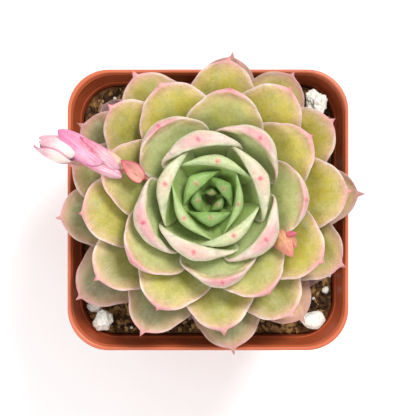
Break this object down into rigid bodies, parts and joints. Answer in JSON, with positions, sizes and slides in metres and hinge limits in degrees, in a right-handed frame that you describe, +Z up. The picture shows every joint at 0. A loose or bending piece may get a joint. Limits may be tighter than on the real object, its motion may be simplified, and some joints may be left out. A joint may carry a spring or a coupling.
{
  "type": "potted succulent",
  "caption": "Rosette succulent of thick spiral-set leaves in a square nursery pot, with a young pink flower stalk leaning over the rim.",
  "frame": {"origin": "centre of the flat underside of the pot", "axes": "+Z up; the pot's sides face X and Y; the flower stalk leans out over the side that faces -X"},
  "size_m": [0.1029, 0.0961, 0.1097],
  "materials": {
    "pot": "satin injection-moulded plastic",
    "soil": "damp peat and bark potting mix",
    "stem": "woody green stem",
    "heart": "young green leaf",
    "young_leaf": "fleshy green leaf with a powdery bloom",
    "grown_leaf": "fleshy yellow-green leaf with a pink margin",
    "old_leaf": "fleshy olive leaf with a powdery bloom",
    "dry_leaf": "dried papery leaf",
    "stalk": "thin reddish stalk",
    "bract": "soft pink bract",
    "bud": "pale pink petal",
    "shoot": "peach shoot with pink tips",
    "stone": "matt white pumice"
  },
  "bodies": {
    "root": {"pot": "pot", "soil": "soil", "stem": "stem", "heart_bud": "heart", "leaf_05": "young_leaf", "leaf_06": "young_leaf", "leaf_07": "young_leaf", "leaf_08": "young_leaf", "leaf_09": "young_leaf", "leaf_10": "young_leaf", "leaf_11": "young_leaf", "leaf_12": "young_leaf", "leaf_13": "young_leaf", "leaf_14": "young_leaf", "leaf_15": "grown_leaf", "leaf_16": "grown_leaf", "leaf_17": "grown_leaf", "leaf_18": "grown_leaf", "leaf_19": "grown_leaf", "leaf_20": "grown_leaf", "leaf_21": "grown_leaf", "leaf_22": "grown_leaf", "leaf_23": "grown_leaf", "leaf_24": "grown_leaf", "leaf_25": "grown_leaf", "leaf_26": "grown_leaf", "leaf_27": "grown_leaf", "leaf_28": "grown_leaf", "leaf_29": "grown_leaf", "leaf_30": "grown_leaf", "leaf_31": "grown_leaf", "leaf_32": "old_leaf", "leaf_33": "old_leaf", "leaf_34": "old_leaf", "leaf_35": "old_leaf", "leaf_36": "old_leaf", "leaf_37": "old_leaf", "leaf_38": "old_leaf", "leaf_39": "old_leaf", "leaf_40": "old_leaf", "leaf_41": "old_leaf", "leaf_42": "old_leaf", "leaf_43": "old_leaf", "leaf_44": "old_leaf", "leaf_45": "old_leaf", "leaf_46": "old_leaf", "leaf_47": "old_leaf", "dry_leaf_a": "dry_leaf", "dry_leaf_b": "dry_leaf", "dry_leaf_c": "dry_leaf", "dry_leaf_d": "dry_leaf", "flower_stalk": "stalk", "bract_upper": "bract", "bract_middle": "bract", "bract_lower": "bract", "flower_bud": "bud", "side_shoot": "shoot", "stone_a": "stone", "stone_b": "stone", "stone_c": "stone"}
  },
  "joints": []
}
